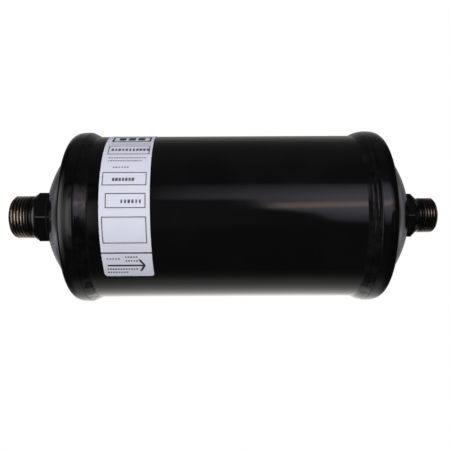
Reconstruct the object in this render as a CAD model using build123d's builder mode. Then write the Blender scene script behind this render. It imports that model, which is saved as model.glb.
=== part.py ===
from build123d import *

import os
from collections import namedtuple
from math import atan2, cos, degrees, radians, sin, sqrt, tan

# A hermetic liquid-line filter drier, all sizes in millimetres.
# X runs along the axis in the direction of flow, from the inlet at -X to the outlet at +X, and Z is up.
# The origin is on the axis, half way along the bare shell.
# A station is a distance from the origin measured outward along the axis, the same way at both ends.

# --- Shell: a straight steel tube ---
shell_outer_d = 95.25
shell_wall = 2.0
shell_bare_length = 157.2       # tube that shows between the two cap skirts

# --- End caps: drawn cups, each with its skirt slipped over the tube ---
cap_wall = 2.4
skirt_clearance = 0.1           # radial, skirt over tube
skirt_lap = 3.5                 # tube held in each skirt
shoulder_depth = 6.5            # half-ellipse of the shoulder, along the axis
shoulder_height = 4.0           # and across it
ledge_width = 4.4               # flat ring between shoulder and dome
dome_rise = 17.3                # crown of the full sphere above the ledge
dome_foot_r = 1.5               # hollow radius where the dome leaves the ledge

# --- Weld beads: one round each skirt edge ---
weld_width = 6.5
weld_height = 2.3
weld_crown_height = 1.7         # height of the bead at half its width

# --- Fittings: flat-face unions, turned from hexagon bar ---
inlet_thread_d = 25.4           # 1-14 thread, major diameter
inlet_thread_length = 11.3
inlet_end_chamfer = 1.7
inlet_hex_flats = 28.575
inlet_hex_length = 8.2
inlet_bore_d = 12.3
inlet_spigot_d = 19.0
inlet_o_ring_inner_d = 15.6
outlet_thread_d = 20.6375       # 13/16-16 thread, major diameter
outlet_thread_length = 8.8
outlet_end_chamfer = 1.2
outlet_hex_flats = 25.4
outlet_hex_length = 5.5
outlet_bore_d = 9.6
outlet_spigot_d = 16.0
outlet_o_ring_inner_d = 12.42
hex_cone_angle = 46.0           # cone that tops each hexagon, from the axis
relief_depth = 0.85             # groove behind each thread
relief_width = 0.7
spigot_clearance = 0.1          # radial, spigot in the cap's hole
spigot_overhang = 1.2           # spigot beyond the cap's inner face
hex_waste = 2.0                 # bar cut away outside the hexagon's corners
o_ring_cord_d = 1.78
o_ring_groove_depth = 1.3
o_ring_clearance = 0.05         # between the ring and the groove's outer wall
o_ring_inner_room = 0.3         # between the ring and the groove's inner wall

# --- Brazing rings: filler under each hexagon ---
braze_ledge = 0.6               # filler that shows beyond the hexagon's corners
braze_foot = 0.9                # reach of the filler's slope down the dome

# --- Filter pack, from the outlet back to the inlet ---
pack_clearance = 0.3            # radial, between the pack and the tube
outlet_plate_wall = 1.5
outlet_screen_thickness = 0.5
outlet_pad_thickness = 8.0
gasket_thickness = 3.0
gasket_opening_d = 60.0
gasket_lip_length = 8.0         # lip that centres the core in the tube
core_side_gap = 3.1             # flow space between core and tube
core_bore_d = 20.0
core_end_thickness = 25.0       # solid end left at the blind bore
core_chamfer = 2.0
inlet_pad_thickness = 5.0
inlet_screen_thickness = 0.5
pressure_plate_wall = 1.2
pressure_plate_rim = 5.0        # length of the guiding rim
perforation_d = 4.0
perforation_pitch = 8.0         # from ring to ring of holes
perforation_edge = 5.0          # bare edge outside the last ring
holes_in_first_ring = 6

# --- Spring: conical, ends ground flat ---
spring_length = 42.0
spring_wire_d = 3.0
spring_turns = 4.5
spring_large_d = 60.0           # coil centre line on the pressure plate
spring_spigot_gap = 0.4         # between the small coil and the inlet spigot
spring_ground_depth = 0.5       # centre line of the wire beyond each ground face

# --- Rating label: one sheet stuck round the tube near the inlet ---
label_width = 26.3
label_length = 125.0            # round the tube
label_thickness = 0.2
label_corner_r = 1.8
label_weld_gap = 5.3            # bare tube between the inlet weld and the label
label_start_angle = 43.0        # lower edge, below the middle of the front

# --- Worked out from the sizes above ---
shell_outer_r = shell_outer_d / 2
shell_inner_r = shell_outer_r - shell_wall
skirt_inner_r = shell_outer_r + skirt_clearance
skirt_outer_r = skirt_inner_r + cap_wall
skirt_edge = shell_bare_length / 2
shell_end = skirt_edge + skirt_lap
ledge = shell_end + shoulder_depth
ledge_outer_r = skirt_outer_r - shoulder_height
dome_foot = ledge_outer_r - ledge_width
dome_sphere_r = (dome_foot**2 + dome_rise**2) / (2 * dome_rise)
dome_centre = ledge + dome_rise - dome_sphere_r
dome_inner_r = dome_sphere_r - cap_wall
weld_toe = skirt_edge - weld_width
pack_r = shell_inner_r - pack_clearance


def radius_on_sphere(sphere_r, station):
    """Radius from the drier's axis of a sphere about the dome's centre."""
    return sqrt(sphere_r**2 - (station - dome_centre) ** 2)


def station_on_sphere(sphere_r, radius):
    """Station at which a sphere about the dome's centre has a radius from the axis."""
    return dome_centre + sqrt(sphere_r**2 - radius**2)


def dome_arc(sphere_r, from_radius, to_radius):
    """Arc about the dome's centre between two radii from the axis."""
    start = atan2(from_radius, station_on_sphere(sphere_r, from_radius) - dome_centre)
    end = atan2(to_radius, station_on_sphere(sphere_r, to_radius) - dome_centre)
    return CenterArc((dome_centre, 0), sphere_r, degrees(start), degrees(end - start))


def outward_plane(outward):
    """Plane through the axis: its x is the station at one end, its y the radius."""
    return Plane(origin=(0, 0, 0), x_dir=(outward, 0, 0), z_dir=(0, -outward, 0))


def turned_ring(start_x, end_x, inner_r, outer_r):
    """Add a plain ring, or a disc where inner_r is 0, between two places on X."""
    with BuildSketch(outward_plane(1)) as section:
        with Locations(((start_x + end_x) / 2, (inner_r + outer_r) / 2)):
            Rectangle(end_x - start_x, outer_r - inner_r)
    revolve(section.sketch, axis=Axis.X)


Port = namedtuple(
    "Port",
    "name outward thread_r thread_length end_chamfer hex_flats hex_length bore_r spigot_r o_ring_inner_d",
)
inlet = Port(
    "inlet", -1, inlet_thread_d / 2, inlet_thread_length, inlet_end_chamfer, inlet_hex_flats,
    inlet_hex_length, inlet_bore_d / 2, inlet_spigot_d / 2, inlet_o_ring_inner_d,
)
outlet = Port(
    "outlet", 1, outlet_thread_d / 2, outlet_thread_length, outlet_end_chamfer, outlet_hex_flats,
    outlet_hex_length, outlet_bore_d / 2, outlet_spigot_d / 2, outlet_o_ring_inner_d,
)


def seat_station(port):
    """Station of the flat that is pressed on the dome under the fitting's hexagon."""
    return station_on_sphere(dome_sphere_r, port.hex_flats / 2)


os.makedirs("parts", exist_ok=True)

# Shell tube: its ends lie inside the cap skirts
with BuildPart() as shell_tube:
    turned_ring(-shell_end, shell_end, shell_inner_r, shell_outer_r)
shell_tube.part.label = "shell_tube"
export_step(shell_tube.part, "parts/shell_tube.step")

for port in (inlet, outlet):
    profile_plane = outward_plane(port.outward)
    seat = seat_station(port)
    seat_r = port.hex_flats / 2
    hex_corner_r = seat_r / cos(radians(30))

    # End cap: skirt, rounded shoulder, narrow ledge, dome, and the fitting's flat and hole
    inner_seat = seat - cap_wall
    hole_r = port.spigot_r + spigot_clearance
    outer_foot = (ledge, dome_foot)
    inner_foot = (ledge - cap_wall, radius_on_sphere(dome_inner_r, ledge - cap_wall))
    inner_seat_r = radius_on_sphere(dome_inner_r, inner_seat)
    with BuildPart() as end_cap:
        with BuildSketch(profile_plane) as cap_profile:
            with BuildLine():
                Line((shell_end, skirt_inner_r), (skirt_edge, skirt_inner_r))
                Line((skirt_edge, skirt_inner_r), (skirt_edge, skirt_outer_r))
                Line((skirt_edge, skirt_outer_r), (shell_end, skirt_outer_r))
                EllipticalCenterArc(
                    (shell_end, ledge_outer_r), shoulder_depth, shoulder_height, 0, arc_size=90
                )
                Line((ledge, ledge_outer_r), outer_foot)
                dome_arc(dome_sphere_r, dome_foot, seat_r)
                Line((seat, seat_r), (seat, hole_r))
                Line((seat, hole_r), (inner_seat, hole_r))
                Line((inner_seat, hole_r), (inner_seat, inner_seat_r))
                dome_arc(dome_inner_r, inner_seat_r, inner_foot[1])
                Line(inner_foot, (ledge - cap_wall, ledge_outer_r))
                EllipticalCenterArc(
                    (shell_end, ledge_outer_r),
                    shoulder_depth - cap_wall,
                    shoulder_height - cap_wall,
                    0,
                    arc_size=90,
                )
            make_face()
            fillet(cap_profile.vertices().sort_by_distance(outer_foot)[0], dome_foot_r)
            fillet(cap_profile.vertices().sort_by_distance(inner_foot)[0], dome_foot_r + cap_wall)
        revolve(axis=Axis.X)
    end_cap.part.label = f"{port.name}_end_cap"
    export_step(end_cap.part, f"parts/{port.name}_end_cap.step")

    # Weld bead: rises from its toe on the tube to the edge of the skirt
    with BuildPart() as weld_bead:
        with BuildSketch(profile_plane):
            with BuildLine():
                Line((skirt_edge, shell_outer_r), (weld_toe, shell_outer_r))
                ThreePointArc(
                    (weld_toe, shell_outer_r),
                    (weld_toe + weld_width / 2, shell_outer_r + weld_crown_height),
                    (skirt_edge, shell_outer_r + weld_height),
                )
                Line((skirt_edge, shell_outer_r + weld_height), (skirt_edge, shell_outer_r))
            make_face()
        revolve(axis=Axis.X)
    weld_bead.part.label = f"{port.name}_weld_bead"
    export_step(weld_bead.part, f"parts/{port.name}_weld_bead.step")

    # Fitting: spigot, hexagon with a cone on it, relief, thread as a plain cylinder, O-ring groove
    cone_slope = tan(radians(hex_cone_angle))
    relief_r = port.thread_r - relief_depth
    hex_end = seat + port.hex_length
    relief_start = hex_end + (seat_r - relief_r) / cone_slope
    thread_start = relief_start + relief_width + relief_depth
    port_end = thread_start + port.thread_length
    groove_inner_r = port.o_ring_inner_d / 2 - o_ring_inner_room
    groove_outer_r = port.o_ring_inner_d / 2 + o_ring_cord_d + o_ring_clearance
    groove_floor = port_end - o_ring_groove_depth
    spigot_end = inner_seat - spigot_overhang
    with BuildPart() as fitting:
        with BuildSketch(profile_plane):
            with BuildLine():
                Polyline(
                    (spigot_end, port.bore_r),
                    (spigot_end, port.spigot_r),
                    (seat, port.spigot_r),
                    (seat, hex_corner_r),
                    (hex_end - (hex_corner_r - seat_r) / cone_slope, hex_corner_r),
                    (relief_start, relief_r),
                    (relief_start + relief_width, relief_r),
                    (thread_start, port.thread_r),
                    (port_end - port.end_chamfer, port.thread_r),
                    (port_end, port.thread_r - port.end_chamfer),
                    (port_end, groove_outer_r),
                    (groove_floor, groove_outer_r),
                    (groove_floor, groove_inner_r),
                    (port_end, groove_inner_r),
                    (port_end, port.bore_r),
                    close=True,
                )
            make_face()
        revolve(axis=Axis.X)
        with BuildSketch(Plane.YZ.offset(port.outward * seat)):
            Circle(hex_corner_r + hex_waste)
            RegularPolygon(seat_r, 6, major_radius=False, mode=Mode.SUBTRACT)
        extrude(amount=port.outward * (relief_start - seat), mode=Mode.SUBTRACT)
    fitting.part.label = f"{port.name}_fitting"
    export_step(fitting.part, f"parts/{port.name}_fitting.step")

    # O-ring: lies on the groove's floor and stands proud of the end face
    with BuildPart() as o_ring:
        with BuildSketch(profile_plane):
            with Locations((groove_floor + o_ring_cord_d / 2, (port.o_ring_inner_d + o_ring_cord_d) / 2)):
                Circle(o_ring_cord_d / 2)
        revolve(axis=Axis.X)
    o_ring.part.label = f"{port.name}_o_ring"
    export_step(o_ring.part, f"parts/{port.name}_o_ring.step")

    # Brazing ring: fills the wedge between the hexagon's flat underside and the dome
    ring_r = hex_corner_r + braze_ledge
    ring_foot_r = ring_r + braze_foot
    with BuildPart() as braze_ring:
        with BuildSketch(profile_plane):
            with BuildLine():
                Line((seat, seat_r), (seat, ring_r))
                Line((seat, ring_r), (station_on_sphere(dome_sphere_r, ring_foot_r), ring_foot_r))
                dome_arc(dome_sphere_r, ring_foot_r, seat_r)
            make_face()
        revolve(axis=Axis.X)
    braze_ring.part.label = f"{port.name}_braze_ring"
    export_step(braze_ring.part, f"parts/{port.name}_braze_ring.step")

# Places on X of the filter pack: it is built back from the outlet ledge, and pushed there by the spring
outlet_plate_x = ledge - cap_wall - outlet_plate_wall
outlet_screen_x = outlet_plate_x - outlet_screen_thickness
outlet_pad_x = outlet_screen_x - outlet_pad_thickness
core_outlet_x = outlet_pad_x - gasket_thickness
spring_start_x = cap_wall - seat_station(inlet)
pressure_plate_x = spring_start_x + spring_length
inlet_screen_x = pressure_plate_x + pressure_plate_wall
inlet_pad_x = inlet_screen_x + inlet_screen_thickness
core_inlet_x = inlet_pad_x + inlet_pad_thickness
core_r = shell_inner_r - core_side_gap


def perforate(face_x, depth):
    """Punch a centre hole and rings of holes through a plate whose lower face is at face_x."""
    ring_count = int((pack_r - perforation_edge) / perforation_pitch)
    with BuildSketch(Plane.YZ.offset(face_x)) as holes:
        Circle(perforation_d / 2)
        for ring in range(1, ring_count + 1):
            with PolarLocations(ring * perforation_pitch, ring * holes_in_first_ring):
                Circle(perforation_d / 2)
    extrude(holes.sketch, amount=depth, mode=Mode.SUBTRACT)


# Outlet plate: a flat perforated disc that rests on the ledge inside the outlet cap
with BuildPart() as outlet_plate:
    turned_ring(outlet_plate_x, outlet_plate_x + outlet_plate_wall, 0, pack_r)
    perforate(outlet_plate_x, outlet_plate_wall)
outlet_plate.part.label = "outlet_perforated_plate"
export_step(outlet_plate.part, "parts/outlet_perforated_plate.step")

with BuildPart() as outlet_screen:
    turned_ring(outlet_screen_x, outlet_plate_x, 0, pack_r)
outlet_screen.part.label = "outlet_screen"
export_step(outlet_screen.part, "parts/outlet_screen.step")

with BuildPart() as outlet_filter_pad:
    turned_ring(outlet_pad_x, outlet_screen_x, 0, pack_r)
outlet_filter_pad.part.label = "outlet_filter_pad"
export_step(outlet_filter_pad.part, "parts/outlet_filter_pad.step")

# Core gasket: seals the core's outlet face, and its lip keeps the core in the middle of the tube
with BuildPart() as core_gasket:
    turned_ring(core_outlet_x, outlet_pad_x, gasket_opening_d / 2, pack_r)
    turned_ring(core_outlet_x - gasket_lip_length, core_outlet_x, core_r, pack_r)
core_gasket.part.label = "core_gasket"
export_step(core_gasket.part, "parts/core_gasket.step")

# Desiccant core: a moulded block with a blind bore that opens towards the outlet
with BuildPart() as desiccant_core:
    turned_ring(core_inlet_x, core_outlet_x, 0, core_r)
    chamfer(desiccant_core.edges().filter_by(GeomType.CIRCLE).sort_by(Axis.X)[0], core_chamfer)
    with Locations(Plane(origin=(core_outlet_x, 0, 0), x_dir=(0, 1, 0), z_dir=(1, 0, 0))):
        Hole(core_bore_d / 2, depth=core_outlet_x - core_inlet_x - core_end_thickness)
desiccant_core.part.label = "desiccant_core"
export_step(desiccant_core.part, "parts/desiccant_core.step")

with BuildPart() as inlet_felt_pad:
    turned_ring(inlet_pad_x, core_inlet_x, 0, pack_r)
inlet_felt_pad.part.label = "inlet_felt_pad"
export_step(inlet_felt_pad.part, "parts/inlet_felt_pad.step")

with BuildPart() as inlet_screen:
    turned_ring(inlet_screen_x, inlet_pad_x, 0, pack_r)
inlet_screen.part.label = "inlet_screen"
export_step(inlet_screen.part, "parts/inlet_screen.step")

# Pressure plate: a perforated dish whose rim slides in the tube
with BuildPart() as pressure_plate:
    turned_ring(pressure_plate_x, inlet_screen_x, 0, pack_r)
    turned_ring(pressure_plate_x - pressure_plate_rim, pressure_plate_x, pack_r - pressure_plate_wall, pack_r)
    perforate(pressure_plate_x, pressure_plate_wall)
pressure_plate.part.label = "pressure_plate"
export_step(pressure_plate.part, "parts/pressure_plate.step")

# Core spring: its small end sits round the inlet spigot, its large end on the pressure plate
spring_small_r = inlet_spigot_d / 2 + spring_spigot_gap + spring_wire_d / 2
spring_height = spring_length + 2 * spring_ground_depth
spring_flare = degrees(atan2(spring_large_d / 2 - spring_small_r, spring_height))
spring_foot_x = spring_start_x - spring_ground_depth
with BuildPart() as core_spring:
    with BuildLine() as wire_path:
        Helix(
            spring_height / spring_turns,
            spring_height,
            spring_small_r,
            center=(spring_foot_x, 0, 0),
            direction=(1, 0, 0),
            cone_angle=spring_flare,
        )
    with BuildSketch(Plane(origin=wire_path.line @ 0, z_dir=wire_path.line % 0)):
        Circle(spring_wire_d / 2)
    sweep(path=wire_path.line)
    split(bisect_by=Plane.YZ.offset(spring_start_x), keep=Keep.TOP)
    split(bisect_by=Plane.YZ.offset(pressure_plate_x), keep=Keep.BOTTOM)
core_spring.part.label = "core_spring"
export_step(core_spring.part, "parts/core_spring.step")

# Rating label: a sheet round the front and top of the tube, with rounded corners
label_angle = degrees(label_length / shell_outer_r)
label_top_angle = radians(label_start_angle - label_angle)
label_start_x = label_weld_gap - weld_toe
label_plane = Plane(
    origin=(0, 0, 0), x_dir=(1, 0, 0), z_dir=(0, sin(label_top_angle), -cos(label_top_angle))
)
with BuildPart() as rating_label:
    with BuildSketch(label_plane):
        with Locations((label_start_x + label_width / 2, shell_outer_r + label_thickness / 2)):
            Rectangle(label_width, label_thickness)
    revolve(axis=Axis.X, revolution_arc=label_angle)
    corner_edges = rating_label.edges().filter_by(lambda edge: edge.length < 2 * label_thickness)
    fillet(corner_edges, label_corner_r)
rating_label.part.label = "rating_label"
export_step(rating_label.part, "parts/rating_label.step")
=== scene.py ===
from math import atan2, cos, degrees, pi, radians, sin, sqrt, tan

import bmesh
import bpy
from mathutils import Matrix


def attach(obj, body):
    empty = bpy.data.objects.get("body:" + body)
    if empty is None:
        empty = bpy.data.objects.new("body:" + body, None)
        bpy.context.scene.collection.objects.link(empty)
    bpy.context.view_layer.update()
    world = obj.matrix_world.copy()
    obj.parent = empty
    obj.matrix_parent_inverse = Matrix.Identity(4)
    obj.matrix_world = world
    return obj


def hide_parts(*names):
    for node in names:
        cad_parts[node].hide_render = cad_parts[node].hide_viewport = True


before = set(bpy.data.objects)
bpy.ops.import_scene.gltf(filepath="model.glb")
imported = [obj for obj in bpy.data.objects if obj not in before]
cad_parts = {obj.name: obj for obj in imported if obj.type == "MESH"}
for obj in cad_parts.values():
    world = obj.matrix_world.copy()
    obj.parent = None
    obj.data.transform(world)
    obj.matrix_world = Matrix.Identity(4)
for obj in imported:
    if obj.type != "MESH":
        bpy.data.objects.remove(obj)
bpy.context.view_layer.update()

MM = 0.001
scene = bpy.context.scene


# ---------------------------------------------------------------------------------------------
# The studio: a white floor, one large window in front and to the right of the drier, a softer panel
# at its left, whose near end is a board of its own, and a lamp over the camera for the paper label.
# The wall and the floor behind the drier are lit, and the room in front of it is kept dark.
# ---------------------------------------------------------------------------------------------
class Wire:
    """An output socket that joins in Python arithmetic: each operator adds a Math node."""

    def __init__(self, graph, socket):
        self.graph = graph
        self.socket = socket

    def __getitem__(self, name):
        return Wire(self.graph, self.socket.node.outputs[name])

    def math(self, operation, *others):
        return self.graph.node("ShaderNodeMath", {"operation": operation}, [self, *others])

    def __add__(self, other):
        return self.math("ADD", other)

    def __sub__(self, other):
        return self.math("SUBTRACT", other)

    def __mul__(self, other):
        return self.math("MULTIPLY", other)

    def __truediv__(self, other):
        return self.math("DIVIDE", other)

    def __pow__(self, other):
        return self.math("POWER", other)

    __radd__ = __add__
    __rmul__ = __mul__

    def __rsub__(self, other):
        return self.graph.node("ShaderNodeMath", {"operation": "SUBTRACT"}, [other, self])

    def __rtruediv__(self, other):
        return self.graph.node("ShaderNodeMath", {"operation": "DIVIDE"}, [other, self])


class Graph:
    """Builds a node tree, for a world, a material or a geometry modifier."""

    def __init__(self, tree):
        self.tree = tree
        tree.nodes.clear()

    def plug(self, socket, value):
        if isinstance(value, Wire):
            self.tree.links.new(value.socket, socket)
        else:
            socket.default_value = value

    def node(self, kind, settings=None, values=(), out=0):
        """Adds a node: its settings first, then the values or links of its sockets."""
        made = self.tree.nodes.new(kind)
        for name, value in (settings or {}).items():
            if name == "stops":
                elements = made.color_ramp.elements
                elements[0].position, elements[0].color = value[0]
                elements[1].position, elements[1].color = value[-1]
                for place, colour in value[1:-1]:
                    elements.new(place).color = colour
            else:
                setattr(made, name, value)
        sockets = [s for s in made.inputs if s.enabled]
        if isinstance(values, dict):
            for name, value in values.items():
                self.plug(next(s for s in sockets if s.name == name), value)
        else:
            for socket, value in zip(sockets, values):
                self.plug(socket, value)
        shown = [s for s in made.outputs if s.enabled]
        return Wire(self, shown[out]) if shown else made

    def ramp(self, factor, stops):
        """A ramp of greys or colours; each stop is a place and a grey or a colour."""
        full = [
            (place, (c, c, c, 1) if isinstance(c, (int, float)) else (*c, 1)) for place, c in stops
        ]
        return self.node("ShaderNodeValToRGB", {"stops": full}, [factor])

    def profile(self, value, low, high, points):
        """A ramp over the range of a value; each point is a place in that range and its grey or colour."""
        span = high - low
        return self.ramp((value - low) / span, [((place - low) / span, level) for place, level in points])

    def smooth(self, value, start, end):
        """0 before start, 1 after end, and a smooth step between them."""
        return self.node(
            "ShaderNodeMapRange", {"interpolation_type": "SMOOTHSTEP"}, [value, start, end, 0.0, 1.0]
        )

    def band(self, value, rise, full, fall, gone):
        """1 between full and fall, with soft sides."""
        return self.smooth(value, rise, full) * (1 - self.smooth(value, fall, gone))

    def blend(self, factor, first, second):
        """Mixes two colours."""
        return self.node(
            "ShaderNodeMix", {"data_type": "RGBA"}, {"Factor": factor, "A": first, "B": second}
        )


world = bpy.data.worlds.new("studio")
scene.world = world
world.use_nodes = True
room = Graph(world.node_tree)
heading = room.node("ShaderNodeTexCoord")
axes = room.node("ShaderNodeSeparateXYZ", {}, [heading])
to_side, to_back, to_top = axes["X"], axes["Y"], axes["Z"]
# Angles in degrees: tilt is about the drier's axis, bearing is from front to side, height is over the level
in_degrees = 180 / pi
tilt = to_top.math("ARCTAN2", 0 - to_back) * in_degrees
bearing = to_side.math("ARCTAN2", 0 - to_back) * in_degrees
height = to_top.math("ARCSINE") * in_degrees
slant = to_side / (to_back * to_back + to_top * to_top).math("SQRT")

# Glow of the wall and floor round the drier, by its tilt: from behind, under, front, over and behind again
wall_glow = [
    (-180, 0.26), (-174, 0.36), (-170, 0.52), (-163, 1.25), (-150, 1.4), (-136, 1.14), (-128, 0.9),
    (-121, 0.72), (-110, 0.44), (-100, 0.3), (-91, 0.1), (-80, 0.035), (-10, 0.03), (30, 0.03),
    (69, 0.035), (84, 0.06), (110, 0.08), (125, 0.11), (137, 0.22), (148, 0.33), (163, 0.3), (180, 0.26),
]
round_glow = room.profile(
    tilt, -180, 180, [(angle, (glow, glow * 0.985, glow * 0.97)) for angle, glow in wall_glow]
)
# The glow sinks in the corners, under and past the ends, and in line with the axis
sideways = to_side.math("ABSOLUTE")
corner_fade = 1 - 0.85 * room.smooth(sideways, 0.3, 0.7) * room.smooth(height.math("ABSOLUTE"), 9, 18)
under_fade = 1 - 0.7 * room.smooth(sideways, 0.12, 0.5) * room.smooth(0 - height, 9, 18)
wing_fade = 1 - 0.92 * room.smooth(sideways, 0.84, 0.91)
past_ends = room.smooth(sideways, 0.3, 0.6) * room.smooth(to_back, 0.0, 0.2)
right_low = room.smooth(to_side, 0.0, 0.3) * room.smooth(0 - height, 5, 12)
end_fade = 1 - past_ends * (1 - room.smooth(height, 2, 12)) * (0.4 + 0.15 * right_low)
end_tint = room.blend(past_ends, (1.0, 1.0, 1.0, 1), (0.97, 0.975, 1.1, 1))

# Far part of the left panel, by bearing and by height
panel_peak = 2.4
panel_glow = ((-90, 0.0), (-85, 0.6), (-80, 2.4), (-64, 2.1), (-46, 1.1), (-43, 0.0))
panel_fall = (
    (-48, 0.0), (-35, 0.14), (-27, 0.36), (-20, 0.65), (-10, 0.88), (0, 1.0), (8, 1.0), (20, 0.72),
    (27, 0.5), (34, 0.2), (42, 0.06), (48, 0.0),
)
panel = room.profile(bearing, -120, 0, [(angle, glow / panel_peak) for angle, glow in panel_glow])
panel = panel * panel_peak * room.profile(height, -50, 50, panel_fall)

# Window in front: its glow falls off to the left and upward, and its lower side runs down to the right
window_foot = (
    (-0.15, 23), (0.06, 23), (0.09, 10), (0.14, 7.5), (0.185, 4), (0.215, -6), (0.245, -8.5),
    (0.34, -10.5), (0.45, -9.5), (0.62, 5), (1.05, 8),
)
foot_angle = room.profile(slant, -0.15, 1.05, [(place, (angle + 30) / 90) for place, angle in window_foot])
foot_angle = foot_angle * 90 - 30
window_side = room.smooth(slant, -0.155, -0.105) * (1 - room.smooth(bearing, 27, 62))
window_fall = ((0.5 + 2.1 * slant).math("MINIMUM", 1.05)).math("MAXIMUM", 0.0)
window_top = ((49 - tilt) / 22).math("MINIMUM", 1.0).math("MAXIMUM", 0.0)
window_top = window_top * (1 - room.smooth(tilt, 40.5, 47))
window_low = (0.62 + 0.045 * tilt).math("MINIMUM", 1.0).math("MAXIMUM", 0.25)
pane = window_side * window_fall * window_top * window_low * room.smooth(tilt - foot_angle, -3, 3)

# A warm tube light in the window, and a faint haze to the left of it
tube_light = (
    1.1
    * room.band(tilt - 10 * slant, 7.5, 11.5, 13.5, 18.5)
    * room.smooth(slant, 0.065, 0.14)
    * (1 - room.smooth(bearing, 23, 56))
)
haze = 0.04 * room.band(tilt, -22, -8, 18, 25) * room.band(slant, -0.6, -0.3, -0.02, 0.2)
front_only = room.smooth(0 - to_back, 0.0, 0.1)


def tinted(strength, colour):
    return room.node("ShaderNodeVectorMath", {"operation": "SCALE"}, {"Vector": colour, "Scale": strength})


def summed(first, second):
    return room.node("ShaderNodeVectorMath", {"operation": "ADD"}, [first, second])


# Light that comes round from behind, past each end
round_end = 0.3 * room.band(bearing.math("ABSOLUTE"), 112, 118, 122, 132)
round_end = round_end * room.band(height, -30, -12, 12, 30)
around = room.node("ShaderNodeVectorMath", {"operation": "MULTIPLY"}, [round_glow, end_tint])
surround = tinted(corner_fade * under_fade * wing_fade * end_fade, around)
windows = summed(
    tinted(pane * front_only, (1.0, 0.955, 1.1)), tinted(tube_light * front_only, (1.25, 0.84, 0.66))
)
mirrored = summed(summed(surround, tinted(panel + round_end + haze * front_only, (1.0, 0.97, 1.0))), windows)
ray = room.node("ShaderNodeLightPath")
seen = room.blend(ray["Is Diffuse Ray"], mirrored, (0.2, 0.2, 0.205, 1))
seen = room.blend(ray["Is Camera Ray"], seen, (1.0, 1.0, 1.0, 1))
glow = room.node("ShaderNodeBackground", {}, {"Color": seen, "Strength": 1.0})
room.node("ShaderNodeOutputWorld", {}, [glow])


def stage_board(name, corners):
    """A flat board of the studio, which only shines: it sheds no light and throws no shadow."""
    mesh = bpy.data.meshes.new(name)
    mesh.from_pydata(corners, [], [(0, 1, 2, 3)])
    board = bpy.data.objects.new(name, mesh)
    scene.collection.objects.link(board)
    board.visible_diffuse = False
    board.visible_shadow = False
    shine = bpy.data.materials.new(name)
    shine.use_nodes = True
    mesh.materials.append(shine)
    return board, Graph(shine.node_tree)


floor, sweep = stage_board("floor", [(-4, -4, -0.6), (4, -4, -0.6), (4, 4, -0.6), (-4, 4, -0.6)])
floor.visible_glossy = False
sweep.node("ShaderNodeOutputMaterial", {}, [sweep.node("ShaderNodeEmission", {}, {"Strength": 1.0})])

# The panel's near end, which only the left end of the drier can see
board_far, board_near, board_top, board_depth, board_peak = -0.9, -0.235, 0.8, -0.8, 2
board, screen = stage_board(
    "panel_board",
    [
        (board_far, board_depth, -board_top),
        (board_near, board_depth, -board_top),
        (board_near, board_depth, board_top),
        (board_far, board_depth, board_top),
    ],
)
board.visible_camera = False
spot = screen.node("ShaderNodeSeparateXYZ", {}, [screen.node("ShaderNodeTexCoord", out=3)])
board_levels = (
    (-0.9, 1.2), (-0.863, 1.1), (-0.55, 0.85), (-0.43, 0.9), (-0.335, 1.75), (-0.31, 1.7), (-0.3, 1.3),
    (-0.295, 0.25), (-0.282, 0.25), (-0.268, 0.48), (-0.25, 0.25), (-0.235, 0.0),
)
board_glow = screen.profile(
    spot["X"], board_far, board_near, [(place, glow / board_peak) for place, glow in board_levels]
)
board_angles = (
    (-45, 0.0), (-35, 0.14), (-27, 0.36), (-20, 0.6), (-10, 0.86), (0, 1.0), (8, 1.0), (20, 0.78),
    (27, 0.5), (34, 0.25), (44, 0.0),
)
to_board = 0.753                # from the drier's front to the board
board_fall = screen.profile(
    spot["Z"],
    -board_top,
    board_top,
    [(to_board * tan(radians(angle)), glow) for angle, glow in board_angles],
)
near_strip = screen.smooth(spot["X"], -0.3, -0.29)
far_from_level = screen.smooth(spot["Z"].math("ABSOLUTE"), 0.25, 0.42)
near_fall = 1 - 0.8 * screen.smooth(spot["X"], -0.36, -0.33) * far_from_level
board_shine = board_peak * board_glow * board_fall ** (1 + 2.0 * near_strip) * near_fall
screen.node(
    "ShaderNodeOutputMaterial",
    {},
    [screen.node("ShaderNodeEmission", {}, {"Color": (1.0, 0.965, 0.99, 1), "Strength": board_shine})],
)

lamp_data = bpy.data.lights.new("label_lamp", "AREA")
lamp_data.shape = "RECTANGLE"
lamp_data.size = 0.5
lamp_data.size_y = 0.4
lamp_data.energy = 11.0
lamp = bpy.data.objects.new("label_lamp", lamp_data)
lamp.location = (-0.05, -1.15, 0.31)
lamp.rotation_euler = (radians(75), 0, 0)
lamp.visible_glossy = False
scene.collection.objects.link(lamp)

camera_data = bpy.data.cameras.new("camera")
camera_data.sensor_width = 36
camera_data.lens = 41.28
camera_data.shift_x = 0.0071
camera_data.shift_y = -0.0196
camera_data.clip_start = 0.01
camera_data.clip_end = 20
camera = bpy.data.objects.new("camera", camera_data)
camera.location = (-3.16 * MM, -311.7 * MM, 0)
camera.rotation_euler = (pi / 2, 0.0050, 0)
scene.collection.objects.link(camera)
scene.camera = camera
scene.view_settings.view_transform = "Standard"
scene.view_settings.look = "None"


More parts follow.
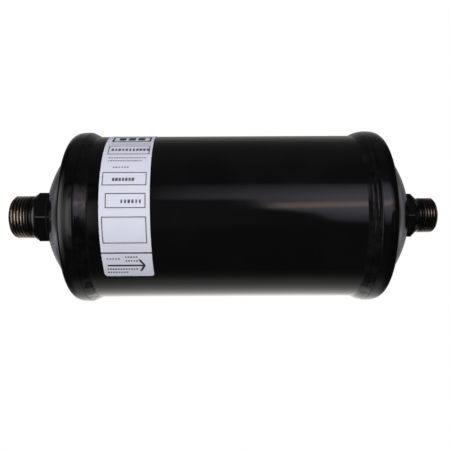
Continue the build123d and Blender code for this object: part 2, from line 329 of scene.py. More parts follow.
# ---------------------------------------------------------------------------------------------
# Shell tube: a drawn steel tube, turned true, under a coat of black gloss enamel.
# The enamel is sprayed over the whole drier after welding, so it runs on over the caps.
# ---------------------------------------------------------------------------------------------
class Shape(Graph):
    """A geometry modifier's tree, with a named input for each size."""

    def __init__(self, name, sizes, finish):
        super().__init__(bpy.data.node_groups.new(name, "GeometryNodeTree"))
        self.tree.is_modifier = True
        sockets = self.tree.interface
        sockets.new_socket("Geometry", in_out="INPUT", socket_type="NodeSocketGeometry")
        self.given = {}
        for size, value in sizes.items():
            kind = "NodeSocketInt" if isinstance(value, int) else "NodeSocketFloat"
            made = sockets.new_socket(size, in_out="INPUT", socket_type=kind)
            self.given[made.identifier] = value
        sockets.new_socket("Geometry", in_out="OUTPUT", socket_type="NodeSocketGeometry")
        self.entry = Wire(self, self.tree.nodes.new("NodeGroupInput").outputs[0])
        self.finish = finish

    def close(self, geometry):
        """Ends the tree in real faces that carry the finish."""
        real = self.node("GeometryNodeRealizeInstances", {}, [geometry])
        shaded = self.node("GeometryNodeSetShadeSmooth", {}, [real])
        dressed = self.node("GeometryNodeSetMaterial", {}, {"Geometry": shaded, "Material": self.finish})
        self.node("NodeGroupOutput", {}, [dressed])


def made_real(name, seed_mesh, shape, crease=32.0):
    """Runs a shape on a mesh of points, and returns the result as a plain closed piece."""
    seed = bpy.data.objects.new(name + "_seed", seed_mesh)
    scene.collection.objects.link(seed)
    modifier = seed.modifiers.new("shape", "NODES")
    modifier.node_group = shape.tree
    for identifier, value in shape.given.items():
        modifier[identifier] = value
    evaluated = seed.evaluated_get(bpy.context.evaluated_depsgraph_get())
    mesh = bpy.data.meshes.new_from_object(evaluated)
    seed.modifiers.remove(modifier)
    bpy.data.objects.remove(seed)
    work = bmesh.new()
    work.from_mesh(mesh)
    bmesh.ops.recalc_face_normals(work, faces=work.faces)
    work.to_mesh(mesh)
    work.free()
    mesh.name = name
    mesh.set_sharp_from_angle(angle=radians(crease))
    piece = bpy.data.objects.new(name, mesh)
    scene.collection.objects.link(piece)
    return piece


def turned(name, outline, finish, steps=256, sizes=None, cut=None, crease=32.0):
    """Turns a closed outline of (place on X, radius) in millimetres about the X axis.

    cut, if given, takes the radius, place and turn of each point, and returns its new radius and place.
    """
    seed_mesh = bpy.data.meshes.new(name)
    seed_mesh.from_pydata([(x * MM, r * MM, 0) for x, r in [*outline, outline[0]]], [], [])
    shape = Shape(name, {"steps round": steps, **(sizes or {})}, finish)
    around = shape.entry["steps round"]
    count = shape.node(
        "GeometryNodeAttributeDomainSize", {"component": "MESH"}, [shape.entry["Geometry"]]
    )
    columns = around + 1
    grid = shape.node(
        "GeometryNodeMeshGrid", {}, {"Size X": 1.0, "Size Y": 1.0, "Vertices X": count, "Vertices Y": columns}
    )
    index = shape.node("GeometryNodeInputIndex")
    row = (index / columns + 0.0001).math("FLOOR")
    turn = (index - row * columns) / around
    point = shape.node(
        "GeometryNodeSampleIndex",
        {"data_type": "FLOAT_VECTOR", "domain": "POINT"},
        {
            "Geometry": shape.entry["Geometry"],
            "Value": shape.node("GeometryNodeInputPosition"),
            "Index": row,
        },
    )
    parts = shape.node("ShaderNodeSeparateXYZ", {}, [point])
    place, radius = parts["X"], parts["Y"]
    if cut:
        radius, place = cut(shape, radius, place, turn)
    angle = turn * (2 * pi)
    where = shape.node(
        "ShaderNodeCombineXYZ", {}, [place, radius * angle.math("COSINE"), radius * angle.math("SINE")]
    )
    moved = shape.node("GeometryNodeSetPosition", {}, {"Geometry": grid, "Position": where})
    joined = shape.node("GeometryNodeMergeByDistance", {}, {"Geometry": moved, "Distance": 1e-6})
    shape.close(joined)
    return made_real(name, seed_mesh, shape, crease)


class Finish(Graph):
    """A material on the Principled shader, with patterns laid in millimetres over the object."""

    def __init__(self, name):
        self.material = bpy.data.materials.new(name)
        self.material.use_nodes = True
        super().__init__(self.material.node_tree)
        self.here = self.node("ShaderNodeTexCoord", out=3)
        self.place = self.node(
            "ShaderNodeVectorMath", {"operation": "SCALE"}, {"Vector": self.here, "Scale": 1000.0}
        )

    def noise(self, scale, detail=2.0, stretch=None, roughness=0.5):
        """Noise between 0 and 1, of scale patches per millimetre; stretch pulls it along each axis."""
        place = self.place
        if stretch:
            place = self.node("ShaderNodeVectorMath", {"operation": "MULTIPLY"}, [place, stretch])
        return self.node(
            "ShaderNodeTexNoise",
            {},
            {"Vector": place, "Scale": scale, "Detail": detail, "Roughness": roughness},
        )

    def bump(self, height, depth_mm, strength=1.0):
        return self.node(
            "ShaderNodeBump", {}, {"Strength": strength, "Distance": depth_mm * MM, "Height": height}
        )

    def done(self, **sockets):
        """Ends in the Principled shader; a socket's name has its spaces as underscores."""
        named = {name.replace("_", " "): value for name, value in sockets.items()}
        shader = self.node("ShaderNodeBsdfPrincipled", {}, named)
        self.node("ShaderNodeOutputMaterial", {}, [shader])
        return self.material


# Sizes of the tube, the same as the solids'
shell_r = 47.625
shell_wall = 2.0
shell_end = 82.1
enamel = Finish("black_enamel")
smudge = enamel.smooth(enamel.noise(0.03, 3.0), 0.42, 0.72)
speck = enamel.smooth(enamel.noise(1.1, 1.0), 0.74, 0.8)
peel = enamel.noise(0.45, 1.0)
black_enamel = enamel.done(
    Base_Color=enamel.blend(
        smudge * 0.5 + speck * 0.5, (0.0022, 0.0021, 0.0021, 1), (0.0048, 0.0046, 0.0047, 1)
    ),
    Roughness=0.07 + 0.05 * smudge + 0.12 * speck,
    IOR=1.5,
    Normal=enamel.bump(peel + speck * 0.3, 0.02, 0.12),
)
tube_places = [-shell_end + 2 * shell_end * step / 40 for step in range(41)]
painted_shell = turned(
    "painted_shell",
    [(x, shell_r) for x in tube_places] + [(x, shell_r - shell_wall) for x in reversed(tube_places)],
    black_enamel,
    steps=288,
)
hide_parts("shell_tube")
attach(painted_shell, "root")


# ---------------------------------------------------------------------------------------------
# End caps: drawn steel cups, each slipped over the tube by its skirt, with a rounded shoulder,
# a narrow ledge and a dome that carries the fitting. They share the tube's enamel.
# ---------------------------------------------------------------------------------------------
def arc(station, radius, along, across, start, end, steps):
    """Points of an ellipse's arc between two angles in degrees."""
    angles = [radians(start + (end - start) * step / steps) for step in range(steps + 1)]
    return [(station + along * cos(a), radius + across * sin(a)) for a in angles]


def on_side(outward, outline):
    """An outline of stations, brought to its own end of the drier."""
    return [(outward * station, radius) for station, radius in outline]


skirt_edge = 78.6
skirt_inner_r = 47.725
cap_wall = 2.4
skirt_outer_r = skirt_inner_r + cap_wall
shoulder_depth = 6.5
shoulder_height = 4.0
ledge = shell_end + shoulder_depth
ledge_outer_r = skirt_outer_r - shoulder_height
dome_foot = ledge_outer_r - 4.4
dome_rise = 17.3
dome_r = (dome_foot**2 + dome_rise**2) / (2 * dome_rise)
dome_centre = ledge + dome_rise - dome_r
foot_round = 1.5
lip_round = 0.5
spigot_gap = 0.1


def dome_station(sphere_r, radius):
    return dome_centre + sqrt(sphere_r**2 - radius**2)


def dome_angle(sphere_r, radius):
    return degrees(atan2(radius, dome_station(sphere_r, radius) - dome_centre))


def dome_side(sphere_r, ledge_place, foot, seat_r):
    """Ledge, hollow foot and dome, from the ledge inward to a radius."""
    hollow_r = sqrt((sphere_r + foot) ** 2 - (ledge_place + foot - dome_centre) ** 2)
    hollow_end = degrees(atan2(-hollow_r, -(ledge_place + foot - dome_centre))) + 360
    foot_angle = degrees(atan2(hollow_r, ledge_place + foot - dome_centre))
    return arc(ledge_place + foot, hollow_r, foot, foot, 180, hollow_end, 8) + arc(
        dome_centre, 0, sphere_r, sphere_r, foot_angle, dome_angle(sphere_r, seat_r), 28
    )[1:]


ends = (
    # name, side, hexagon across flats, spigot diameter
    ("inlet", -1, 28.575, 19.0),
    ("outlet", 1, 25.4, 16.0),
)
for end, outward, hex_flats, spigot_d in ends:
    seat = dome_station(dome_r, hex_flats / 2)
    hole_r = spigot_d / 2 + spigot_gap
    inner_dome_r = dome_r - cap_wall
    inner_seat_r = sqrt(inner_dome_r**2 - (seat - cap_wall - dome_centre) ** 2)
    outside = (
        [(skirt_edge, skirt_inner_r)]
        + arc(skirt_edge + lip_round, skirt_outer_r - lip_round, lip_round, lip_round, 180, 90, 5)
        + [(skirt_edge + 1.2, skirt_outer_r), (skirt_edge + 2.4, skirt_outer_r)]
        + arc(shell_end, ledge_outer_r, shoulder_depth, shoulder_height, 90, 0, 26)
        + dome_side(dome_r, ledge, foot_round, hex_flats / 2)
        + [(seat, hole_r), (seat - cap_wall, hole_r)]
    )
    inside = (
        arc(shell_end, ledge_outer_r, shoulder_depth - cap_wall, shoulder_height - cap_wall, 90, 0, 8)
        + dome_side(inner_dome_r, ledge - cap_wall, foot_round + cap_wall, inner_seat_r)
    )
    cap = turned(end + "_cap", on_side(outward, outside + inside[::-1]), black_enamel, steps=288)
    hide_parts(end + "_end_cap")
    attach(cap, "root")


# ---------------------------------------------------------------------------------------------
# Weld beads: one pass of wire feed round each skirt edge, blended down on to the tube.
# Enamel fills the ripples; where the pass starts and stops, underneath, a lump is left.
# ---------------------------------------------------------------------------------------------
weld_enamel = Finish("weld_enamel")
fume = weld_enamel.smooth(weld_enamel.noise(0.12, 3.0), 0.4, 0.75)
spatter = weld_enamel.smooth(weld_enamel.noise(0.8, 1.0), 0.68, 0.76)
weld_black = weld_enamel.done(
    Base_Color=weld_enamel.blend(fume, (0.0024, 0.0022, 0.0022, 1), (0.006, 0.0056, 0.0056, 1)),
    Roughness=0.09 + 0.1 * fume + 0.1 * spatter,
    IOR=1.5,
    Normal=weld_enamel.bump(weld_enamel.noise(0.35, 2.0) + 0.5 * spatter, 0.05, 0.3),
)
weld_toe = 72.1
weld_width = skirt_edge - weld_toe
weld_rise = 2.3


def weld_ripple(shape, radius, place, turn):
    """Waves and slow wander of the pass, and its lump; away from the front the steps close up."""
    given = shape.entry
    angle = turn * (2 * pi)
    across = ((place.math("ABSOLUTE") - weld_toe * MM) / (weld_width * MM)).math("MAXIMUM", 0.0)
    filled = shape.smooth(angle.math("COSINE"), -0.8, -0.5)
    filled = filled * shape.smooth(radius, (shell_r + 0.01) * MM, (shell_r + 0.03) * MM)
    plain = (shell_r + weld_rise * across * (1 + given["fullness"] * (1 - across))) * MM
    radius = radius + (plain - radius) * filled
    body = (across * (1.04 - across) * 4).math("MINIMUM", 1.0).math("MAXIMUM", 0.0)
    chevron = turn * given["ripples"] + (across - 0.5) ** 2.0 * 1.5
    wave = (chevron * (2 * pi)).math("SINE") * given["ripple height"]
    round_about = shape.node(
        "ShaderNodeCombineXYZ",
        {},
        [place * given["wander scale"], angle.math("COSINE") * 5, angle.math("SINE") * 5],
    )
    wander = shape.node("ShaderNodeTexNoise", {}, {"Vector": round_about, "Scale": 1.6, "Detail": 2.0}) - 0.5
    stop = given["stop"]
    lump = shape.band(turn, stop - 0.035, stop - 0.012, stop + 0.008, stop + 0.03)
    over = angle.math("SINE").math("MAXIMUM", 0.0)
    under = (0 - angle.math("SINE")).math("MAXIMUM", 0.0)
    proud = wave + wander * given["wander height"] * (1 + 1.6 * under ** 3.0) + lump * given["lump height"]
    fresh = radius + body * proud * shape.smooth(radius, (shell_r + 0.02) * MM, (shell_r + 0.6) * MM)
    narrow = 1 - over * over * given["narrowing on top"] - under * under * given["narrowing underneath"]
    reach = (skirt_edge * MM - place.math("ABSOLUTE")) * narrow
    return fresh, (skirt_edge * MM - reach) * place.math("SIGN")


bead_rises = {
    # height of each bead over the tube in millimetres, at even steps from its toe to the skirt
    "inlet": (0, 0.04, 0.1, 0.29, 0.515, 0.74, 0.965, 1.19, 1.415, 1.64, 1.865, 2.09, 2.3),
    "outlet": (
        0, 0.046, 0.103, 0.172, 0.206, 0.287, 0.399, 0.48, 0.497, 0.514, 0.595,
        1.265, 1.377, 1.458, 1.527, 1.538, 1.555, 1.636, 1.748, 2.208, 2.3,
    ),
}


def eased(values, share):
    """Reads a list of even steps at a share of its length, with a smooth curve between them."""
    place = share * (len(values) - 1)
    step = min(int(place), len(values) - 2)
    before, here, after, beyond = (
        values[max(step - 1, 0)], values[step], values[step + 1], values[min(step + 2, len(values) - 1)]
    )
    t = place - step
    bend = (2 * before - 5 * here + 4 * after - beyond) * t
    bend += (3 * (here - after) + beyond - before) * t * t
    return here + 0.5 * t * (after - before + bend)


beads = (
    # name, side, rows across, turn of the stop, narrowing on top and underneath, fullness
    ("inlet", -1, 36, 0.66, 0.33, 0.22, 0.2),
    ("outlet", 1, 20, 0.635, 0.0, 0.12, 0.9),
)
for end, outward, rows, stop, on_top, underneath, fullness in beads:
    crown = [
        (weld_toe + weld_width * step / rows, shell_r + eased(bead_rises[end], step / rows))
        for step in range(rows + 1)
    ]
    bead = turned(
        end + "_weld",
        on_side(outward, [(skirt_edge, shell_r)] + [(weld_toe, shell_r)] + crown[1:]),
        weld_black,
        steps=420,
        sizes={
            "ripples": 70,
            "ripple height": 0.012 * MM,
            "wander scale": 260.0,
            "wander height": 0.22 * MM,
            "stop": stop,
            "lump height": 0.4 * MM,
            "narrowing on top": on_top,
            "narrowing underneath": underneath,
            "fullness": fullness,
        },
        cut=weld_ripple,
    )
    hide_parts(end + "_weld_bead")
    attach(bead, "root")


# ---------------------------------------------------------------------------------------------
# Fittings: flat-face unions turned from hexagon bar, blacked, with a cut thread and an O-ring face.
# The crests of the thread are rubbed to warm bare steel by the shipping cap.
# ---------------------------------------------------------------------------------------------
union = Finish("blacked_steel")
crest = union.node("ShaderNodeAttribute", {"attribute_name": "crest"})["Fac"]
rubbed = (0.75 + 0.25 * union.smooth(union.noise(0.15, 2.0), 0.35, 0.6)) * crest
soot = union.noise(0.7, 3.0)
turning = union.noise(1.0, 1.0, (9.0, 0.6, 0.6))
steel_tone = union.blend(soot, (0.0022, 0.0021, 0.0021, 1), (0.0042, 0.0038, 0.0037, 1))
bare_tone = union.blend(rubbed, (0.04, 0.037, 0.036, 1), (0.7, 0.56, 0.46, 1))
bare = union.smooth(rubbed, 0.12, 0.2)
blacked_steel = union.done(
    Base_Color=union.blend(bare, steel_tone, bare_tone),
    Metallic=bare,
    Roughness=0.13 + 0.09 * rubbed + 0.05 * soot,
    Normal=union.bump(turning, 0.02, 0.06),
)
cone_slope = 46.0
relief_depth = 0.85
relief_width = 0.7
corner_land = 29.0              # degrees from the middle of a flat to where the corner is turned off
thread_share = 0.6              # depth of the thread, as a share of its pitch
groove_depth = 1.3
spigot_reach = 1.2              # inside the cap's wall
ring_cord = 1.78


def hexagon_and_thread(shape, radius, place, turn):
    """Trims the bar to its six flats, and cuts a right-hand thread in the end."""
    given = shape.entry
    flats, corner = given["flats radius"], given["corner radius"]
    sixth = ((turn * 6).math("FRACT") - 0.5) * (pi / 3)
    trimmed = radius.math("MINIMUM", (flats / sixth.math("COSINE")).math("MINIMUM", corner))
    station = place * given["outward"]
    lead = ((station - given["thread start"]) / given["pitch"] - turn * given["outward"]).math("FRACT")
    flank = ((lead - 0.5).math("ABSOLUTE") * 2 - 0.22) / 0.66
    depth = flank.math("MINIMUM", 1.0).math("MAXIMUM", 0.0)
    runout = shape.smooth(station, given["thread start"], given["thread start"] + given["pitch"] * 0.8)
    threaded = given["thread radius"] - depth * given["thread depth"] * runout
    in_thread = station.math("GREATER_THAN", given["thread start"])
    cut_back = trimmed.math("MINIMUM", threaded)
    return trimmed + (cut_back - trimmed) * in_thread, place


fittings = (
    # name, side, thread diameter, pitch and length, end chamfer, hexagon flats and length
    ("inlet", -1, 25.4, 25.4 / 14, 11.3, 1.7, 28.575, 8.2),
    ("outlet", 1, 20.6375, 25.4 / 16, 8.8, 1.2, 25.4, 5.5),
)
fitting_insides = {
    # bore, spigot and O-ring diameters, hollow of the cone, wear of the thread
    "inlet": (12.3, 19.0, 15.6, 0.09, 1.0),
    "outlet": (9.6, 16.0, 12.42, 0.04, 0.45),
}
for end, outward, thread_d, pitch, thread_length, chamfer, flats, hex_length in fittings:
    bore, spigot_d, ring_d, hollow, wear = fitting_insides[end]
    seat = dome_station(dome_r, flats / 2)
    flats_r = flats / 2
    thread_r = thread_d / 2
    corner_r = flats_r / cos(radians(30))
    slope = 1 / sin(radians(cone_slope)) * cos(radians(cone_slope))
    hex_end = seat + hex_length
    relief_r = thread_r - relief_depth
    relief_start = hex_end + (flats_r - relief_r) * slope
    thread_start = relief_start + relief_width + relief_depth
    face = thread_start + thread_length
    groove_inner = ring_d / 2 - 0.3
    groove_outer = ring_d / 2 + ring_cord + 0.05
    groove_floor = face - groove_depth
    spigot_end = seat - cap_wall - spigot_reach
    cone_start = hex_end - (corner_r - flats_r) * slope
    cone = []
    for s in range(25):
        swept = s / 24 + hollow * sin(2 * pi * s / 24)
        station = cone_start + (relief_start - cone_start) * s / 24
        cone.append((station, corner_r + (relief_r - corner_r) * swept))
    thread_rows = round(thread_length / pitch * 14)
    threads = [
        (thread_start + (thread_length - chamfer) * s / thread_rows, thread_r) for s in range(thread_rows + 1)
    ]
    nose = [(face - chamfer + chamfer * s / 10, thread_r - chamfer * s / 10) for s in range(1, 11)]
    outline = (
        [(spigot_end, bore / 2), (spigot_end, spigot_d / 2), (seat, spigot_d / 2), (seat, corner_r)]
        + cone
        + [(relief_start + relief_width, relief_r)]
        + threads
        + nose
        + [(face, groove_outer), (groove_floor, groove_outer), (groove_floor, groove_inner)]
        + [(face, groove_inner), (face, bore / 2)]
    )
    piece = turned(
        end + "_union",
        on_side(outward, outline),
        blacked_steel,
        steps=360,
        sizes={
            "flats radius": flats_r * MM,
            "corner radius": flats_r / cos(radians(corner_land)) * MM,
            "outward": float(outward),
            "thread start": thread_start * MM,
            "pitch": pitch * MM,
            "thread radius": thread_r * MM,
            "thread depth": thread_share * pitch * MM,
        },
        cut=hexagon_and_thread,
        crease=24.0,
    )
    layer = piece.data.attributes.new("crest", "FLOAT", "POINT")
    for vertex, value in zip(piece.data.vertices, layer.data):
        reach = sqrt(vertex.co.y**2 + vertex.co.z**2) / MM
        along_thread = (abs(vertex.co.x) / MM - thread_start - 0.2) / 3.0
        rise = (reach - (thread_r - thread_share * pitch)) / (thread_share * pitch)
        value.value = wear * max(0.0, min(1.0, rise * 1.6 - 0.45, along_thread))
    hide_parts(end + "_fitting")
    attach(piece, "root")


# ---------------------------------------------------------------------------------------------
# Brazing: a ring of filler drawn into the wedge under each hexagon, under the same enamel.
# Its flow shows as uneven tone and relief over the ring.
# ---------------------------------------------------------------------------------------------
filler = Finish("brazed_joint")
flow = filler.noise(0.5, 3.0)
braze_black = filler.done(
    Base_Color=filler.blend(flow, (0.0022, 0.002, 0.002, 1), (0.0045, 0.0032, 0.0028, 1)),
    Roughness=0.35 + 0.15 * flow,
    Specular_IOR_Level=0.12,
    Normal=filler.bump(flow, 0.1, 0.3),
)
braze_ledge = 0.6
braze_foot = 0.9
for end, outward, flats in (("inlet", -1, 28.575), ("outlet", 1, 25.4)):
    seat_r = flats / 2
    seat = dome_station(dome_r, seat_r)
    ring_r = seat_r / cos(radians(30)) + braze_ledge
    foot_r = ring_r + braze_foot
    seam = [(seat, seat_r), (seat, ring_r)]
    seam += [
        (seat + (dome_station(dome_r, foot_r) - seat) * s / 6, ring_r + (foot_r - ring_r) * s / 6)
        for s in range(1, 7)
    ]
    seam += arc(
        dome_centre, 0, dome_r, dome_r, dome_angle(dome_r, foot_r), dome_angle(dome_r, seat_r), 8
    )[1:-1]
    ring = turned(end + "_brazing", on_side(outward, seam), braze_black, steps=240)
    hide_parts(end + "_braze_ring")
    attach(ring, "root")


# ---------------------------------------------------------------------------------------------
# O-rings: moulded black rubber, lying in the groove of each flat face.
# ---------------------------------------------------------------------------------------------
rubber = Finish("black_rubber")
bloom = rubber.noise(0.5, 3.0)
black_rubber = rubber.done(
    Base_Color=rubber.blend(bloom, (0.012, 0.012, 0.012, 1), (0.028, 0.027, 0.026, 1)),
    Roughness=0.5 + 0.15 * bloom,
    Normal=rubber.bump(rubber.noise(4.0, 2.0), 0.02, 0.3),
)
seals = (
    # name, side, inner diameter, place of the groove's floor
    ("inlet", -1, 15.6, 126.25),
    ("outlet", 1, 12.42, 122.19),
)
for end, outward, ring_d, floor_place in seals:
    cord_r = ring_cord / 2
    seal = turned(
        end + "_seal",
        on_side(outward, arc(floor_place + cord_r, ring_d / 2 + cord_r, cord_r, cord_r, 0, 345, 23)),
        black_rubber,
        steps=160,
    )
    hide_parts(end + "_o_ring")
    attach(seal, "root")


# ---------------------------------------------------------------------------------------------
# Rating label: one satin polyester sheet stuck round the tube, a little out of square.
# It carries ruled boxes, plain bars where words would stand, and an arrow that shows the flow.
# ---------------------------------------------------------------------------------------------
label_left = -66.8
label_width = 26.3
label_length = 125.0
label_round = 1.8
label_trim = 1.2                # cut off its lower side
label_sheet = 0.2
label_low = -radians(43.0) * shell_r
label_skew = -0.0194


def wrapped(across, up, proud):
    """A place on the label, in millimetres from its lower left corner, brought round the tube."""
    x = label_left + across + label_skew * (up - label_length / 2)
    angle = (label_low + up) / shell_r
    reach = shell_r + proud
    return (x * MM, -reach * cos(angle) * MM, reach * sin(angle) * MM)


def sheet_piece(name, rows, low, high, finish):
    """A thin closed sheet between two heights over the tube; each row is its height, left and right."""
    work = bmesh.new()
    columns = 12
    layers = []
    for proud in (low, high):
        layer = []
        for up, left, right in rows:
            places = [wrapped(left + (right - left) * c / columns, up, proud) for c in range(columns + 1)]
            layer.append([work.verts.new(place) for place in places])
        layers.append(layer)
    last = len(rows) - 1
    for side, layer in enumerate(layers):
        for r in range(last):
            for c in range(columns):
                corners = [layer[r][c], layer[r][c + 1], layer[r + 1][c + 1], layer[r + 1][c]]
                work.faces.new(corners if side else corners[::-1])
    below, above = layers
    for r in range(last):
        work.faces.new([below[r][0], above[r][0], above[r + 1][0], below[r + 1][0]])
        work.faces.new([below[r][columns], below[r + 1][columns], above[r + 1][columns], above[r][columns]])
    for c in range(columns):
        work.faces.new([below[0][c], below[0][c + 1], above[0][c + 1], above[0][c]])
        work.faces.new([below[last][c], above[last][c], above[last][c + 1], below[last][c + 1]])
    bmesh.ops.recalc_face_normals(work, faces=work.faces)
    mesh = bpy.data.meshes.new(name)
    work.to_mesh(mesh)
    work.free()
    for face in mesh.polygons:
        face.use_smooth = True
    mesh.set_sharp_from_angle(angle=radians(35))
    mesh.materials.append(finish)
    piece = bpy.data.objects.new(name, mesh)
    scene.collection.objects.link(piece)
    return piece


paper = Finish("satin_sheet")
mottle = paper.noise(0.06, 2.0)
grain = paper.noise(3.0, 2.0)
satin_sheet = paper.done(
    Base_Color=paper.blend(mottle, (0.64, 0.655, 0.76, 1), (0.69, 0.7, 0.8, 1)),
    Roughness=0.42 + 0.08 * grain,
    Normal=paper.bump(grain, 0.01, 0.2),
)
label_rows = []
for step in range(9):
    angle = radians(90 * step / 8)
    label_rows.append((label_round * (1 - cos(angle)), label_round * (1 - sin(angle))))
sheet_rows = [(label_trim + up, inset, label_width - inset) for up, inset in label_rows]
straight_low = label_trim + label_round
straight_length = label_length - label_round - straight_low
sheet_rows += [(straight_low + straight_length * s / 120, 0, label_width) for s in range(1, 120)]
sheet_rows += [(label_length - up, inset, label_width - inset) for up, inset in reversed(label_rows)]
label = sheet_piece("data_label", sheet_rows, 0.0, label_sheet, satin_sheet)
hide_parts("rating_label")
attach(label, "root")

ink = Finish("grey_ink")
thin_print = ink.noise(1.5, 2.0)
grey_ink = ink.done(
    Base_Color=ink.blend(thin_print, (0.05, 0.05, 0.062, 1), (0.1, 0.1, 0.12, 1)),
    Roughness=0.5 + 0.1 * thin_print,
    Normal=ink.bump(thin_print, 0.005, 0.2),
)
solid_ink = Finish("black_ink")
full_print = solid_ink.noise(1.5, 2.0)
black_ink = solid_ink.done(
    Base_Color=solid_ink.blend(full_print, (0.008, 0.008, 0.01, 1), (0.03, 0.03, 0.034, 1)),
    Roughness=0.45 + 0.1 * full_print,
    Normal=solid_ink.bump(full_print, 0.005, 0.2),
)
ink_low = label_sheet
ink_high = label_sheet + 0.03


def bar(name, left, right, low, high):
    """One ruled line or block of ink."""
    count = max(1, round((high - low) / 1.0))
    rows = [(low + (high - low) * s / count, left, right) for s in range(count + 1)]
    return sheet_piece(name, rows, ink_low, ink_high, grey_ink)


def joined(name, parts, finish=grey_ink):
    """Puts several inked parts together as one piece."""
    work = bmesh.new()
    for part in parts:
        work.from_mesh(part.data)
        bpy.data.objects.remove(part)
    mesh = bpy.data.meshes.new(name)
    work.to_mesh(mesh)
    work.free()
    mesh.materials.append(finish)
    piece = bpy.data.objects.new(name, mesh)
    scene.collection.objects.link(piece)
    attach(piece, "root")
    return piece


frame_line = 0.5
frames = []
for left, right, low, high in (
    (2.4, 25.0, 72.8, 81.0),
    (1.3, 24.5, 52.2, 60.0),
    (3.3, 24.2, 40.1, 48.0),
    (1.3, 24.4, 21.8, 35.8),
):
    frames += [
        bar("box", left, right, low, low + frame_line),
        bar("box", left, right, high - frame_line, high),
        bar("box", left, left + frame_line, low + frame_line, high - frame_line),
        bar("box", right - frame_line, right, low + frame_line, high - frame_line),
    ]
joined("label_frames", frames)

emblem = [
    bar("side", 3.0, 24.6, 86.2, 87.2),
    bar("side", 3.0, 24.6, 95.0, 96.0),
    bar("side", 3.0, 4.0, 87.2, 95.0),
    bar("side", 23.6, 24.6, 87.2, 95.0),
    bar("block", 6.6, 10.4, 88.6, 93.6),
    bar("block", 11.9, 15.7, 88.6, 93.6),
    bar("block", 17.2, 21.0, 88.6, 93.6),
]
joined("label_emblem", emblem, black_ink)

arrow = [bar("rule", 0.0, label_width, 16.05, 16.8), bar("shaft", 2.5, 21.6, 8.25, 9.25)]
for low, high, start, end_up in ((5.0, 8.75, 18.9, 21.3), (8.75, 12.5, 21.3, 18.9)):
    head_rows = [
        (low + (high - low) * s / 6, start + (end_up - start) * s / 6, start + (end_up - start) * s / 6 + 1.3)
        for s in range(7)
    ]
    arrow.append(sheet_piece("head", head_rows, ink_low, ink_high, black_ink))
joined("label_arrow", arrow, black_ink)

words = Shape("label_words", {"block length": 1.3 * MM, "seed": 4}, grey_ink)
line = words.node("GeometryNodeMeshToCurve", {}, [words.entry["Geometry"]])
stature = words.node("GeometryNodeInputNamedAttribute", {"data_type": "FLOAT"}, {"Name": "stature"})
stride = (stature * 0.85).math("MAXIMUM", words.entry["block length"])
spots = words.node("GeometryNodeCurveToPoints", {"mode": "LENGTH"}, {"Curve": line, "Length": stride})
chance = words.node(
    "FunctionNodeRandomValue", {"data_type": "FLOAT"}, {"Min": 0.5, "Max": 0.84, "Seed": words.entry["seed"]}
)
block = words.node("GeometryNodeMeshCube", {}, {"Size": (1, 1, 1)})
block_size = words.node(
    "ShaderNodeCombineXYZ", {}, [stride * chance, stature, (ink_high - ink_low) * MM]
)
blocks = words.node(
    "GeometryNodeInstanceOnPoints", {}, {"Points": spots, "Instance": block, "Scale": block_size}
)
solid = words.node("GeometryNodeRealizeInstances", {}, [blocks])
flat = words.node("ShaderNodeSeparateXYZ", {}, [words.node("GeometryNodeInputPosition")])
round_angle = (flat["Y"] + label_low * MM) / (shell_r * MM)
out_to = flat["Z"] + (shell_r + (ink_low + ink_high) / 2) * MM
along = flat["X"] + label_left * MM + label_skew * (flat["Y"] - label_length / 2 * MM)
wrap_place = words.node(
    "ShaderNodeCombineXYZ",
    {},
    [along, 0 - out_to * round_angle.math("COSINE"), out_to * round_angle.math("SINE")],
)
words.close(words.node("GeometryNodeSetPosition", {}, {"Geometry": solid, "Position": wrap_place}))
word_rows = (
    # left, right, height up the label, height of the blocks
    (4.8, 23.9, 76.9, 2.2),
    (4.0, 24.2, 83.2, 0.7),
    (4.1, 22.8, 69.9, 0.7),
    (3.8, 20.8, 67.7, 0.7),
    (6.9, 14.3, 63.2, 0.8),
    (7.2, 17.4, 55.6, 1.9),
    (11.8, 21.3, 43.6, 1.9),
    (2.9, 8.9, 12.9, 0.7),
    (12.6, 18.2, 14.0, 0.8),
    (12.6, 18.2, 11.7, 0.8),
    (2.4, 17.7, 6.3, 0.9),
    (2.3, 12.2, 4.1, 0.8),
)
row_mesh = bpy.data.meshes.new("label_words")
row_mesh.from_pydata(
    [(x * MM, up * MM, 0) for left, right, up, _ in word_rows for x in (left, right)],
    [(2 * r, 2 * r + 1) for r in range(len(word_rows))],
    [],
)
tall_layer = row_mesh.attributes.new("stature", "FLOAT", "POINT")
for r, row in enumerate(word_rows):
    tall_layer.data[2 * r].value = row[3] * MM
    tall_layer.data[2 * r + 1].value = row[3] * MM
print_words = made_real("label_words", row_mesh, words)
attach(print_words, "root")


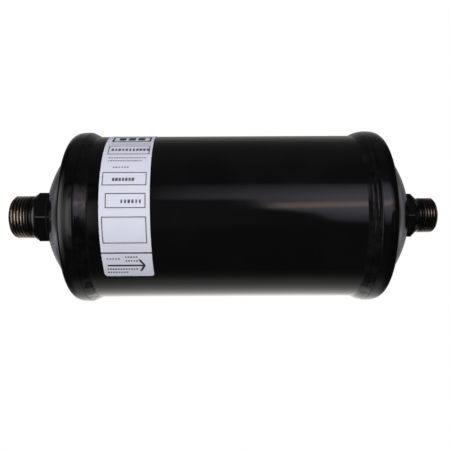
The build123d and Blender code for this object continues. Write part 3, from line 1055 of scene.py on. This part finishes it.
# ---------------------------------------------------------------------------------------------
# Filter pack: spring, plates, screens, felts, gasket and moulded core, shut inside the shell and
# pressed towards the outlet. These keep their solids; each has the finish of its own stock.
# ---------------------------------------------------------------------------------------------
def plain_stock(name, dark, light, scale, rough, metal=0.0, relief=0.05, stretch=None):
    """A stock finish: two tones mixed by noise, with the same noise in its relief."""
    stock = Finish(name)
    tone = stock.noise(scale, 4.0, stretch)
    return stock.done(
        Base_Color=stock.blend(tone, (*dark, 1), (*light, 1)),
        Metallic=metal,
        Roughness=rough + 0.15 * tone,
        Normal=stock.bump(tone, relief, 0.5),
    )


spring_wire = plain_stock("spring_wire", (0.18, 0.17, 0.16), (0.34, 0.33, 0.31), 0.8, 0.25, 1.0, 0.02)
zinc_plate = plain_stock("zinc_plate", (0.42, 0.43, 0.44), (0.62, 0.62, 0.6), 0.25, 0.25, 1.0, 0.02)
white_felt = plain_stock("white_felt", (0.55, 0.54, 0.5), (0.8, 0.79, 0.75), 1.6, 0.8, 0.0, 0.4)
grey_gasket = plain_stock("grey_gasket", (0.2, 0.2, 0.19), (0.36, 0.35, 0.33), 1.2, 0.75, 0.0, 0.3)
moulded_core = plain_stock("moulded_core", (0.5, 0.46, 0.38), (0.78, 0.74, 0.66), 1.0, 0.8, 0.0, 0.5)
weave = Finish("wire_screen")
lanes = weave.node("ShaderNodeSeparateXYZ", {}, [weave.place])
warp = ((lanes["Y"] * 6).math("SINE") * (lanes["Z"] * 6).math("SINE")).math("ABSOLUTE")
wire_screen = weave.done(
    Base_Color=weave.blend(warp, (0.12, 0.115, 0.11, 1), (0.5, 0.49, 0.46, 1)),
    Metallic=0.9,
    Roughness=0.45 - 0.15 * warp,
    Normal=weave.bump(warp, 0.2, 0.8),
)
for node_name, stock in (
    ("core_spring", spring_wire),
    ("pressure_plate", zinc_plate),
    ("outlet_perforated_plate", zinc_plate),
    ("inlet_screen", wire_screen),
    ("outlet_screen", wire_screen),
    ("inlet_felt_pad", white_felt),
    ("outlet_filter_pad", white_felt),
    ("core_gasket", grey_gasket),
    ("desiccant_core", moulded_core),
):
    solid_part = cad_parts[node_name]
    solid_part.data.materials.clear()
    solid_part.data.materials.append(stock)
